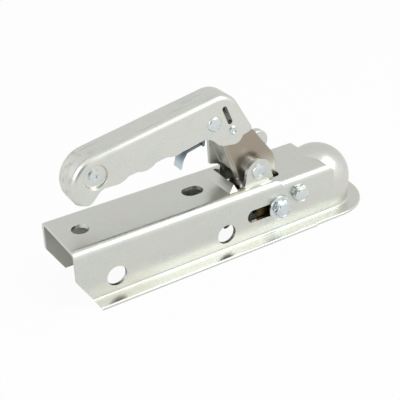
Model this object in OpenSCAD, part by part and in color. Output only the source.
// Trailer coupling head for a 50 mm ball, pressed from steel sheet.
// Millimetres, +Z up, +X towards the nose, z = 0 under the turned-out foot flange.
// The origin is under the middle of the ball.

/* [Housing] */
// Sheet thickness of the pressed housing
sheet = 3; // [2.5:0.1:3.5]
// Outer half width of the channel, also the outer radius of the ball dome
half_w = 28.2; // [28.2:0.1:29]
// Height of the rear top plate over the foot
plate_z = 47.5; // [46:0.5:50]
// Height of the front top plate, a little lower than the rear one
front_z = 45.6; // [45:0.1:46]
// Outer bend radius of the two shoulders
shoulder_r = 6.5; // [5:0.5:8]
// Distance from the ball centre back to the rear edge of the channel
rear_len = 242; // [235:1:250]
// Half width over the foot flanges
foot_half = 40.3; // [39:0.1:42]
// Radius of the lip around the nose
lip_r = 39.3; // [38:0.1:40]
// Height of the ball centre over the foot
ball_z = 21.7; // [21:0.1:23]
// Radius of the ball that the head takes
ball_r = 25; // [25:0.1:25.1]

/* [Drawbar holes] */
// Distance of the rear top hole behind the ball centre
top_hole_x = 223.5; // [220:0.5:225]
// Distance from hole to hole along the drawbar
hole_pitch = 97.5; // [95:0.5:99]
// Diameter of the holes in the top plate
top_hole_d = 13.5; // [12.5:0.1:14]
// Length of the front top hole, which is a slot
top_slot_len = 18; // [16:0.5:20]
// Distance of the rear side hole behind the ball centre
side_hole_x = 210; // [208:0.5:212]
// Height of the side holes
side_hole_z = 16.8; // [16:0.1:18]
// Diameter of the side holes
side_hole_d = 16.5; // [14.5:0.1:17]

/* [Lock] */
// Place of the lever pivot behind the ball centre
pivot_x = 76; // [75:0.5:77]
// Height of the lever pivot
pivot_z = 58; // [57:0.5:59]
// Diameter of the pivot pin
pivot_d = 10; // [8:0.5:11]
// Place of the sliding bolt behind the ball centre, with the lock closed
slide_x = 61.3; // [61:0.1:62]
// Height of the sliding bolt
slide_z = 24.3; // [24:0.1:24.6]
// Travel of the sliding bolt
slide_travel = 25; // [20:0.5:25]
// Diameter of the sleeve that runs in the side slots
sleeve_d = 10.8; // [10:0.1:11]
// Play of the sleeve in its slot, on the diameter
slot_play = 0.5; // [0.4:0.1:1]
// Thread diameter of the two cross bolts
bolt_d = 8; // [7:0.1:8]
// Radial play of every turning pin in its hole
run_play = 0.05; // [0.02:0.01:0.09]

/* [Handle] */
// Outer half width of the handle channel
grip_half = 13; // [12.6:0.1:13]
// Sheet thickness of the handle
grip_sheet = 2.5; // [2:0.1:2.5]
// Bend radius along the two upper edges of the handle
grip_bend = 4; // [3:0.5:5]
// Slope of the back of the handle, in degrees
grip_slope = 10.2; // [10.2:0.1:10.3]
// Radius of the round tail of the handle
grip_end_r = 23.1; // [23:0.1:23.5]
// Radius of the hump over the trigger
grip_hump_r = 20; // [19.5:0.1:20.5]

/* [Hidden] */
$fn = 64;
eps = 0.01;
cut = 100;
inner_half = half_w - sheet;
ear_out = 19.5;
ear_in = ear_out - sheet;
ear_r = 11.8;
open_rear = -97;
open_front = -51;
rim_rise = 3.5;
step_x = -58;
cheek_x = -5;
front_bolt_x = -41;
front_bolt_z = 31;
slot_h = sleeve_d + slot_play;
slot_front = -slide_x + slot_h / 2 + 0.3;
slot_rear = -slide_x - slide_travel - slot_h / 2 - 0.3;
washer_d = 24;
washer_t = 2;
hex_flats = 13;
head_h = 5.3;
nut_h = 6.5;
cam_out = 10.3;
cam_in = 7.5;
gap = 0.1;
rod_z = 11.5;
rod_d = 6;
seat_x = -99;
seat_t = 3;
jaw_rear = -46;
tail = [-208.6, 86.2];
hump_run = 101.4;
hump_up = (hump_run * sin(grip_slope) - grip_hump_r + grip_end_r) / cos(grip_slope);
hump = tail + [hump_run, hump_up];
tail_stop = 210;
lap = 0.03;
rivet_at = [-95.5, 97];
rivet_d = 6.2;
slit = [[-103.3, 116.6], [-98.4, 104.8]];
trigger_at = [-112.5, 106.5];
nose_slope = 59.5;
nose_len = 27;
dimple_at = [-212.5, 93.2];
dimple_r = 9.5;
well_depth = 3.4;
tail_rivet_d = 5;
tail_normal = 90 + grip_slope;

// Name of the one piece to build, or all of them

// Puts a drawing whose first axis is Y and second axis is Z along X
module along_x(x0, x1) {
    translate([x0, 0, 0])
        rotate([90, 0, 90])
            linear_extrude(x1 - x0)
                children();
}

// Puts a drawing whose first axis is X and second axis is Z across Y
module across_y(y0, y1) {
    translate([0, y1, 0])
        rotate([90, 0, 0])
            linear_extrude(y1 - y0)
                children();
}

// Round bar across the part, from y0 to y1
module pin_y(x, z, d, y0, y1) {
    translate([x, y1, z])
        rotate([90, 0, 0])
            cylinder(d = d, h = y1 - y0);
}

// Ring across the part, from y0 to y1
module ring_y(x, z, d_out, d_in, y0, y1) {
    difference() {
        pin_y(x, z, d_out, y0, y1);
        pin_y(x, z, d_in, y0 - 1, y1 + 1);
    }
}

// Hexagon across the part with slightly rounded corners
module hex_y(x, z, y0, y1) {
    intersection() {
        translate([x, y1, z])
            rotate([90, 30, 0])
                cylinder(d = hex_flats / cos(30), h = y1 - y0, $fn = 6);
        pin_y(x, z, hex_flats / cos(30) - 0.7, y0, y1);
    }
}

// Low round head that stands out of a face, with a domed top
module dome_y(x, z, d, h, y, side) {
    ball = (d * d / 4 + h * h) / (2 * h);
    intersection() {
        translate([x, y + side * (h - ball), z])
            sphere(r = ball);
        translate([x, y, z])
            rotate([side * -90, 0, 0])
                cylinder(d = d, h = h + 1);
    }
}

// Flat strip between two points, with round ends a hair wider than the strip
module bar(p, q, w) {
    run = norm(q - p);
    translate(p)
        rotate(atan2(q[1] - p[1], q[0] - p[0]))
            translate([0, -w / 2])
                square([run, w]);
    translate(p)
        circle(d = w + 0.06);
    translate(q)
        circle(d = w + 0.06);
}

// Channel section: half width w, height h, shoulder radius r
module arch(w, h, r) {
    translate([-w, -1])
        square([2 * w, h - r + 1]);
    translate([r - w, 0])
        square([2 * (w - r), h]);
    for (side = [-1, 1])
        translate([side * (w - r), h - r])
            circle(r = r);
}

// One foot flange in section, bent outwards from the wall
module foot_section(reach) {
    bend = 2;
    difference() {
        union() {
            translate([inner_half, 0])
                square([reach - inner_half - sheet / 2, sheet]);
            translate([reach - sheet / 2, sheet / 2])
                circle(d = sheet);
            translate([inner_half, 0])
                square([sheet + bend, sheet + bend]);
        }
        translate([half_w + bend, sheet + bend])
            circle(r = bend);
        difference() {
            translate([inner_half - 1, -1])
                square([sheet + bend + 1, sheet + bend + 1]);
            translate([half_w + bend, sheet + bend])
                circle(r = sheet + bend);
        }
    }
}

// Outside of the front box, its front top edge and corners rounded
module front_box(w, h, r, front, round_r) {
    intersection() {
        along_x(step_x - 6, front)
            arch(w, h, r);
        across_y(-cut, cut)
            union() {
                translate([step_x - 7, -2])
                    square([front - round_r - step_x + 7, h + 2]);
                translate([step_x - 7, -2])
                    square([front - step_x + 7, h - round_r + 2]);
                translate([front - round_r, h - round_r])
                    circle(r = round_r);
            }
    }
}

// Whole outside, or inside when less is the sheet thickness
module body_form(less) {
    r = half_w - less;
    along_x(-rear_len - (less > 0 ? 1 : 0), step_x + (less > 0 ? 1 : 0))
        arch(r, plate_z - less, shoulder_r - less);
    front_box(r, front_z - less, shoulder_r - less, cheek_x - less, 8 - less);
    translate([0, 0, ball_z])
        sphere(r = r, $fn = 96);
    translate([0, 0, -1])
        cylinder(r = r, h = ball_z + 1, $fn = 96);
    translate([step_x, -r, -1])
        cube([-step_x, 2 * r, ball_z + 1]);
    // Below the cheeks the walls run on into the dome
    intersection() {
        translate([-20, 0, ball_z])
            rotate([0, 90, 0])
                cylinder(r = r, h = 20, $fn = 96);
        translate([-20, -r, 0])
            cube([20, 2 * r, ball_z + 12]);
    }
}

// Two ears that stand beside the opening and carry the pivot
module ears() {
    base = 14.5;
    for (y0 = [-ear_out, ear_in])
        across_y(y0, y0 + sheet)
            union() {
                translate([-pivot_x + 0.5, pivot_z - 1.5])
                    circle(r = ear_r);
                polygon([
                    [-pivot_x + 0.5 - base, front_z - sheet],
                    [-pivot_x + 0.5 + base + 1.5, front_z - sheet],
                    [-pivot_x + 0.5 + ear_r, pivot_z - 2],
                    [-pivot_x + 0.5 - ear_r, pivot_z - 2]
                ]);
            }
}

// Raised stiffening rim behind the opening
module rim() {
    half = 21;
    intersection() {
        across_y(-half, half)
            polygon([
                [-107, plate_z - 1],
                [-99.5, plate_z + rim_rise - 1],
                [open_rear, plate_z + rim_rise],
                [open_rear, plate_z - sheet],
                [-107, plate_z - sheet]
            ]);
        along_x(-110, -90)
            polygon([
                [-half, 0],
                [half, 0],
                [half, plate_z],
                [half - 7, plate_z + rim_rise + 1],
                [7 - half, plate_z + rim_rise + 1],
                [-half, plate_z]
            ]);
    }
}

module housing() {
    color("silver")
        difference() {
            union() {
                difference() {
                    body_form(0);
                    body_form(sheet);
                }
                for (side = [0, 1])
                    mirror([0, side, 0]) {
                        along_x(1.5 - rear_len, -30)
                            foot_section(foot_half);
                        along_x(-30 - eps, 0)
                            foot_section(lip_r);
                    }
                rotate([0, 0, -90])
                    rotate_extrude(angle = 180, $fn = 128)
                        foot_section(lip_r);
                ears();
                rim();
            }
            // All material under the foot goes
            translate([-300, -60, -20])
                cube([400, 120, 20]);
            // The rear corners are cut back towards the foot
            across_y(-cut, cut)
                polygon([
                    [-rear_len - 1, 22.6],
                    [-rear_len, 22.6],
                    [-rear_len + 13.4, 0],
                    [-rear_len + 13.4, -1],
                    [-rear_len - 1, -1]
                ]);
            // Step from the rear plate down to the front plate
            across_y(-cut, cut)
                polygon([
                    [step_x - 7, plate_z + 0.01],
                    [step_x + 0.01, front_z],
                    [step_x + 0.01, plate_z + 1],
                    [step_x - 7, plate_z + 1]
                ]);
            // Top holes: one round, one oblong
            translate([-top_hole_x, 0, 30])
                cylinder(d = top_hole_d, h = 40);
            for (dx = [-1, 1])
                translate([
                    hole_pitch - top_hole_x + dx * (top_slot_len - top_hole_d) / 2, 0, 30
                ])
                    cylinder(d = top_hole_d, h = 40);
            translate([hole_pitch - top_hole_x - (top_slot_len - top_hole_d) / 2,
                       -top_hole_d / 2, 30])
                cube([top_slot_len - top_hole_d, top_hole_d, 40]);
            // Side holes for the drawbar bolts
            for (n = [0, 1])
                pin_y(n * hole_pitch - side_hole_x, side_hole_z, side_hole_d, -cut, cut);
            // Opening for the lever
            translate([0, 0, front_z - sheet - 1])
                linear_extrude(30)
                    union() {
                        translate([open_rear + 5, -ear_in])
                            square([open_front - open_rear - 10, 2 * ear_in]);
                        translate([open_rear, 5 - ear_in])
                            square([open_front - open_rear, 2 * ear_in - 10]);
                        for (y = [5 - ear_in, ear_in - 5])
                            translate([open_front - 5, y])
                                circle(r = 5);
                        // Behind the ears it is wider
                        translate([open_rear + 4, -ear_out])
                            square([2.7, 2 * ear_out]);
                        translate([open_rear, 4 - ear_out])
                            square([6.7, 2 * ear_out - 8]);
                        for (y = [4 - ear_out, ear_out - 4])
                            translate([open_rear + 4, y])
                                circle(r = 4);
                    }
            // Side slots for the sliding bolt
            across_y(-cut, cut)
                bar([slot_front - slot_h / 2, slide_z], [slot_rear + slot_h / 2, slide_z], slot_h);
            pin_y(front_bolt_x, front_bolt_z, bolt_d + 0.2, -cut, cut);
            pin_y(-pivot_x, pivot_z, pivot_d + 2 * run_play, -cut, cut);
        }
}

// Cross plate that holds the back of the lock spring
module spring_seat() {
    // Narrower above, clear of the wear plate as it slides
    waist = inner_half - 3.2;
    color("silver")
        difference() {
            along_x(seat_x, seat_x + seat_t)
                polygon([
                    [-inner_half, 4],
                    [inner_half, 4],
                    [inner_half, 15],
                    [waist, 15],
                    [waist, 34],
                    [waist - 8, plate_z - 7.5],
                    [8 - waist, plate_z - 7.5],
                    [-waist, 34],
                    [-waist, 15],
                    [-inner_half, 15]
                ]);
            translate([seat_x - 1, 0, rod_z])
                rotate([0, 90, 0])
                    cylinder(d = rod_d + 0.4, h = seat_t + 2);
            translate([seat_x - 1, 0, 29])
                rotate([0, 90, 0])
                    cylinder(d = 12, h = seat_t + 2);
        }
}

// Hexagon bolt across the housing with its thread as a plain shank
module cross_bolt(x, z, seat, tail_y) {
    hex_y(x, z, -seat - head_h, -seat);
    pin_y(x, z, bolt_d, -seat - 1, tail_y - 0.8);
    translate([x, tail_y - 0.8 - eps, z])
        rotate([-90, 0, 0])
            cylinder(d1 = bolt_d, d2 = bolt_d - 1.6, h = 0.8);
}

module front_bolt() {
    color("lightsteelblue")
        cross_bolt(front_bolt_x, front_bolt_z, half_w, half_w + nut_h + 3);
}

module front_nut() {
    color("lightsteelblue")
        difference() {
            hex_y(front_bolt_x, front_bolt_z, half_w, half_w + nut_h);
            pin_y(front_bolt_x, front_bolt_z, bolt_d, 0, cut);
        }
}

// Tube that keeps the walls apart on the front bolt
module front_spacer() {
    color("gray")
        ring_y(front_bolt_x, front_bolt_z, 12, bolt_d + 0.2, -inner_half, inner_half);
}

// Rivet through both ears, with a wide domed head each side
module pivot_pin() {
    color("lightsteelblue")
        union() {
            pin_y(-pivot_x, pivot_z, pivot_d, -ear_out - 1, ear_out + 1);
            dome_y(-pivot_x, pivot_z, 14, 3, -ear_out, -1);
            dome_y(-pivot_x, pivot_z, 14, 3, ear_out, 1);
        }
}

module pivot_spacers() {
    color("gray")
        for (side = [0, 1])
            mirror([0, side, 0])
                ring_y(-pivot_x, pivot_z, 16, pivot_d + 2 * run_play, cam_out + gap, ear_in);
}

// Section of the handle sheet: across in X, outwards in Y, thicker by more on each face
module grip_section(depth, more) {
    inner_bend = grip_bend - grip_sheet + 0.5 - more;
    difference() {
        grip_outline(grip_half + more, grip_bend + more, -more, depth);
        grip_outline(grip_half - grip_sheet - more, inner_bend, grip_sheet + more, depth + 1);
    }
}

module grip_outline(w, r, top, depth) {
    translate([-w, -depth])
        square([2 * w, depth - r - top]);
    translate([r - w, -depth])
        square([2 * (w - r), depth - top]);
    for (side = [-1, 1])
        translate([side * (w - r), -r - top])
            circle(r = r, $fn = 32);
}

// Straight run of the handle sheet from a point of its outer line. It laps the turns.
module grip_run(from, slope, run, depth) {
    translate([from[0], 0, from[1]])
        rotate([0, -slope, 0])
            along_x(0, run)
                grip_section(depth, lap);
}

// Curved run of the handle sheet around a centre
module grip_turn(at, r, a0, a1, depth) {
    translate([at[0], 0, at[1]])
        rotate([90, 0, 0])
            rotate([0, 0, a0])
                rotate_extrude(angle = a1 - a0, $fn = 96)
                    translate([r, 0])
                        rotate(-90)
                            grip_section(depth, 0);
}

// Lower outline of the handle sides, with finger scallops and a round tail
module grip_side() {
    intersection() {
        translate(tail)
            circle(r = grip_end_r);
        polygon([
            [-245, 130], [-245, 74.2], [-227.8, 74.2], [-225.5, 73.6], [-221.6, 72.9],
            [-219.5, 72.9], [-217.4, 73.7], [-215.3, 75.7], [-212.4, 78.9], [-209.6, 81.4],
            [-206.6, 82.6], [-200, 83], [-190, 100], [-180, 130]
        ]);
    }
    for (bump = [[-197, 96.2], [-173.8, 100.1], [-148, 104.4]])
        translate(bump)
            circle(r = 14);
    translate([-118.8, 103])
        circle(r = 7.6);
    polygon([
        tail, [-206.6, 82.6], [-198, 82.5], [-188, 86], [-174, 88], [-158, 91.2], [-148, 92],
        [-138.4, 92.3], [-124.5, 95.4], [-118.8, 95.4], [-113.7, 92.8], [-108.5, 87.8],
        [-104.4, 86], [-97.9, 85], [-93.2, 84.6], [-88.8, 86.6], [-86.4, 90], [-77.8, 92.8],
        [-70, 95], [-60, 140], [-110, 160], [-245, 130], [-245, 100]
    ]);
}

// Part of the side that is clear of the bent upper edge
module grip_core() {
    back = grip_bend + 1;
    up = [cos(tail_normal), sin(tail_normal)];
    lean = [sin(nose_slope), cos(nose_slope)];
    nose_end = [sin(90 - nose_slope), -cos(90 - nose_slope)];
    translate(tail)
        circle(r = grip_end_r - back);
    translate(hump)
        circle(r = grip_hump_r - back);
    polygon([
        tail + (grip_end_r - back) * up,
        hump + (grip_hump_r - back) * up,
        hump + (grip_hump_r - back) * lean,
        hump + (grip_hump_r - back) * lean + nose_len * nose_end,
        [-80, 80],
        [-80, 60],
        [-250, 60],
        tail + 30 * [cos(tail_stop - 0.2), sin(tail_stop - 0.2)],
        tail
    ]);
}

module handle_shell() {
    lean_angle = 90 - nose_slope;
    start = tail + grip_end_r * [cos(tail_normal), sin(tail_normal)];
    stop = hump + grip_hump_r * [cos(tail_normal), sin(tail_normal)];
    nose = hump + grip_hump_r * [cos(lean_angle), sin(lean_angle)];
    color("silver")
        difference() {
            union() {
                grip_run(start, grip_slope, norm(stop - start), 9);
                grip_turn(tail, grip_end_r, tail_normal - 1, tail_stop, 9);
                intersection() {
                    union() {
                        grip_turn(hump, grip_hump_r, lean_angle - 1, tail_normal + 1, 9);
                        grip_run(nose, -nose_slope, nose_len, 9);
                    }
                    across_y(-cut, cut)
                        grip_side();
                }
                for (y0 = [-grip_half, grip_half - grip_sheet])
                    across_y(y0 + lap, y0 + grip_sheet - lap)
                        intersection() {
                            grip_side();
                            grip_core();
                        }
                // Round pressed wells in both sides of the tail
                for (side = [0, 1])
                    mirror([0, side, 0])
                        pin_y(dimple_at[0], dimple_at[1], 2 * dimple_r + 3,
                              grip_half - 5, grip_half - 0.5);
            }
            for (side = [0, 1])
                mirror([0, side, 0])
                    pin_y(dimple_at[0], dimple_at[1], 2 * dimple_r, grip_half - well_depth, cut);
            pin_y(dimple_at[0], dimple_at[1], tail_rivet_d, -cut, cut);
            across_y(-cut, cut)
                bar(slit[0], slit[1], 3);
            pin_y(trigger_at[0], trigger_at[1], bolt_d + 2 * run_play, -cut, cut);
            pin_y(rivet_at[0], rivet_at[1], rivet_d, -cut, cut);
        }
}

// Side of the cam lever: plate under the handle, rounded foot, pushing finger
module cam_side() {
    polygon([
        [-118.8, 111], [-120, 104], [-118, 100], [-112, 98], [-104.5, 85.5], [-90.4, 50.7],
        [-80, 47.5], [-66, 47], [-62.3, 42], [-53.7, 22.6], [-50.5, 21.8],
        [-47.8, 24.5], [-53.6, 48], [-53.1, 58], [-56.4, 68], [-64, 79.5],
        [-75.4, 90.6], [-81.3, 93], [-92, 110], [-98, 118.5], [-108, 119.5]
    ]);
}

// Two cam plates joined by a strip inside the handle and a web behind the pivot
module cam_lever() {
    color("gray")
        difference() {
            union() {
                for (y0 = [-cam_out, cam_in])
                    across_y(y0, y0 + cam_out - cam_in)
                        cam_side();
                // The far plate is wider behind, down to the top of the opening
                across_y(cam_in, cam_out)
                    polygon([
                        [-105.4, 90], [-104.2, 61.5], [-97, 59.4], [-91, 54.2], [-89, 60], [-96, 90]
                    ]);
                across_y(-cam_in - 1, cam_in + 1)
                    union() {
                        translate([-110.5, 114.5])
                            square([5, 2.5]);
                        polygon([
                            [-101, 84], [-92, 62], [-92.4, 60.6], [-93.6, 60.2], [-103.3, 84]
                        ]);
                    }
            }
            pin_y(-pivot_x, pivot_z, pivot_d + 2 * run_play, -cut, cut);
            pin_y(trigger_at[0], trigger_at[1], bolt_d + 2 * run_play, -cut, cut);
            pin_y(rivet_at[0], rivet_at[1], rivet_d, -cut, cut);
            across_y(-cut, cut)
                bar(slit[0], slit[1], 3);
        }
}

// Solid cam between the plates: a hub joined to a larger round lobe
module cam_block() {
    hub = [-pivot_x, pivot_z];
    lobe = [-65, 72.5];
    color("whitesmoke")
        difference() {
            across_y(-cam_in, cam_in)
                union() {
                    translate(hub)
                        circle(r = 11);
                    translate(lobe)
                        circle(r = 12);
                    translate(hub)
                        rotate(atan2(lobe[1] - hub[1], lobe[0] - hub[0]))
                            translate([0, -10])
                                square([norm(lobe - hub), 20]);
                }
            pin_y(-pivot_x, pivot_z, pivot_d + 2 * run_play, -cut, cut);
        }
}

module lever_rivet() {
    color("lightsteelblue")
        union() {
            pin_y(rivet_at[0], rivet_at[1], rivet_d, -grip_half - 0.5, grip_half + 0.5);
            dome_y(rivet_at[0], rivet_at[1], 7.4, 1.4, -grip_half, -1);
            dome_y(rivet_at[0], rivet_at[1], 7.4, 1.4, grip_half, 1);
        }
}

// Bent strip with a finger hook, hung on the trigger pin
module trigger() {
    knee = [-119, 88.6];
    heel = [-132.5, 85.6];
    bend = [-136.3, 80];
    tip = [-138.2, 73.2];
    strip = 2.2;
    color("slategray")
        difference() {
            union() {
                across_y(-7, 7)
                    union() {
                        translate(trigger_at)
                            circle(r = 6.5);
                        bar(trigger_at + [-4.5, -4.5], knee, strip);
                    }
                across_y(-4.5, 4.5)
                    union() {
                        bar(knee + [0.3, 0.2], heel, strip - 0.1);
                        bar(heel, bend, strip - 0.2);
                        bar(bend, tip, strip - 0.3);
                    }
            }
            pin_y(trigger_at[0], trigger_at[1], bolt_d + 2 * run_play, -cut, cut);
            // Room for the return spring in the middle of the eye
            difference() {
                pin_y(trigger_at[0], trigger_at[1], 16, -3.5, 3.5);
                translate([-130, -4, 80])
                    cube([40, 8, trigger_at[1] - 85.9]);
            }
        }
}

module trigger_pin() {
    color("lightsteelblue")
        union() {
            pin_y(trigger_at[0], trigger_at[1], bolt_d, -grip_half - 1, grip_half + 1);
            dome_y(trigger_at[0], trigger_at[1], 12, 2.4, -grip_half, -1);
            dome_y(trigger_at[0], trigger_at[1], 12, 2.4, grip_half, 1);
        }
}

// Points of a round wire wound on a straight axis along Z
function coil_points(r, wire, pitch, turns, steps, sides) = [
    for (i = [0 : turns * steps])
        let (a = 360 * i / steps, rise = pitch * i / steps, tilt = atan(pitch / (2 * PI * r)))
            for (j = [0 : sides - 1])
                let (b = 360 * j / sides, u = wire / 2 * cos(b), v = wire / 2 * sin(b))
                    [
                        (r + u) * cos(a) + v * sin(tilt) * sin(a),
                        (r + u) * sin(a) - v * sin(tilt) * cos(a),
                        rise + v * cos(tilt)
                    ]
];

function coil_faces(rings, sides) = concat(
    [[for (j = [0 : sides - 1]) j]],
    [
        for (i = [0 : rings - 2])
            for (j = [0 : sides - 1])
                let (k = (j + 1) % sides)
                    [i * sides + j, (i + 1) * sides + j, (i + 1) * sides + k, i * sides + k]
    ],
    [[for (j = [sides - 1 : -1 : 0]) (rings - 1) * sides + j]]
);

module coil(r, wire, pitch, turns, steps) {
    sides = 8;
    polyhedron(
        points = coil_points(r, wire, pitch, turns, steps, sides),
        faces = coil_faces(turns * steps + 1, sides),
        convexity = 8
    );
}

module trigger_spring() {
    wire = 1;
    color("dimgray")
        translate([trigger_at[0], -2.7, trigger_at[1]])
            rotate([-90, 0, 0])
                coil(bolt_d / 2 + 0.9, wire, 1.3, 4, 20);
}

// Block that closes the socket behind the ball, cut to the ball's shape
module clamp_jaw() {
    half = 20;
    color("gray")
        difference() {
            intersection() {
                translate([jaw_rear, -half, 3.2])
                    cube([-jaw_rear - 13, 2 * half, 20.6]);
                translate([0, 0, -1])
                    cylinder(r = 47, h = 60, $fn = 96);
            }
            translate([0, 0, ball_z])
                sphere(r = ball_r + 0.3, $fn = 96);
            translate([jaw_rear - 1, 0, rod_z])
                rotate([0, 90, 0])
                    cylinder(d = rod_d, h = 9);
        }
}

// Two cheeks that tie the jaw to the sliding bolt
module jaw_carrier() {
    color("silver")
        difference() {
            for (y0 = [-15, 12])
                across_y(y0, y0 + 3)
                    union() {
                        translate([-slide_x, slide_z])
                            circle(r = 8.5);
                        polygon([
                            [-slide_x - 8, slide_z], [-slide_x - 5, 12],
                            [jaw_rear, 9], [jaw_rear, 22], [-slide_x + 6, slide_z + 4]
                        ]);
                    }
            pin_y(-slide_x, slide_z, sleeve_d, -cut, cut);
        }
}

module guide_rod() {
    color("lightsteelblue")
        translate([seat_x - 7, 0, rod_z])
            rotate([0, 90, 0])
                cylinder(d = rod_d, h = jaw_rear + 8 - seat_x + 7);
}

// Clip on the end of the rod, behind the seat
module rod_clip() {
    color("dimgray")
        translate([seat_x - 4.5, 0, rod_z])
            rotate([0, 90, 0])
                difference() {
                    cylinder(d = 12, h = 1.2);
                    translate([0, 0, -1])
                        cylinder(d = rod_d, h = 4);
                }
}

module lock_spring() {
    wire = 1.8;
    turns = 7;
    first = seat_x + seat_t + wire / 2 + 0.15;
    last = jaw_rear - wire / 2 - 0.15;
    color("dimgray")
        translate([first, 0, rod_z])
            rotate([0, 90, 0])
                coil(rod_d / 2 + wire / 2 + 0.8, wire, (last - first) / turns, turns, 20);
}

module slide_bolt() {
    color("lightsteelblue")
        cross_bolt(-slide_x, slide_z, half_w + gap + washer_t, half_w + gap + washer_t + nut_h + 3);
}

module slide_nut() {
    seat = half_w + gap + washer_t;
    color("lightsteelblue")
        difference() {
            hex_y(-slide_x, slide_z, seat, seat + nut_h);
            pin_y(-slide_x, slide_z, bolt_d, 0, cut);
        }
}

module slide_sleeve() {
    color("gray")
        ring_y(-slide_x, slide_z, sleeve_d, bolt_d, -half_w - gap, half_w + gap);
}

module slide_washers() {
    color("lightsteelblue")
        for (side = [0, 1])
            mirror([0, side, 0])
                ring_y(-slide_x, slide_z, washer_d, bolt_d, half_w + gap, half_w + gap + washer_t);
}

// Thin coloured plate inside the wall that shows through the slot
module wear_plate() {
    color("olive")
        difference() {
            across_y(-inner_half + 1.2, -inner_half + 2.2)
                polygon([
                    [-80, 17], [-52, 17], [-50, 31], [-80, 31]
                ]);
            pin_y(-slide_x, slide_z, sleeve_d, -cut, cut);
        }
}

// Hollow-ended rivet across the tail of the handle, its heads down in the wells
module tail_rivet() {
    floor_y = grip_half - well_depth;
    color("lightsteelblue")
        difference() {
            union() {
                pin_y(dimple_at[0], dimple_at[1], tail_rivet_d, -floor_y - 0.5, floor_y + 0.5);
                for (side = [0, 1])
                    mirror([0, side, 0])
                        pin_y(dimple_at[0], dimple_at[1], tail_rivet_d + 3.5,
                              floor_y, floor_y + 1.2);
            }
            for (side = [0, 1])
                mirror([0, side, 0])
                    pin_y(dimple_at[0], dimple_at[1], 4, floor_y + 0.5, cut);
        }
}

housing();
spring_seat();
front_bolt();
front_nut();
front_spacer();
pivot_pin();
pivot_spacers();
handle_shell();
cam_lever();
cam_block();
lever_rivet();
trigger();
trigger_pin();
trigger_spring();
clamp_jaw();
jaw_carrier();
guide_rod();
rod_clip();
lock_spring();
slide_bolt();
slide_nut();
slide_sleeve();
slide_washers();
wear_plate();
tail_rivet();
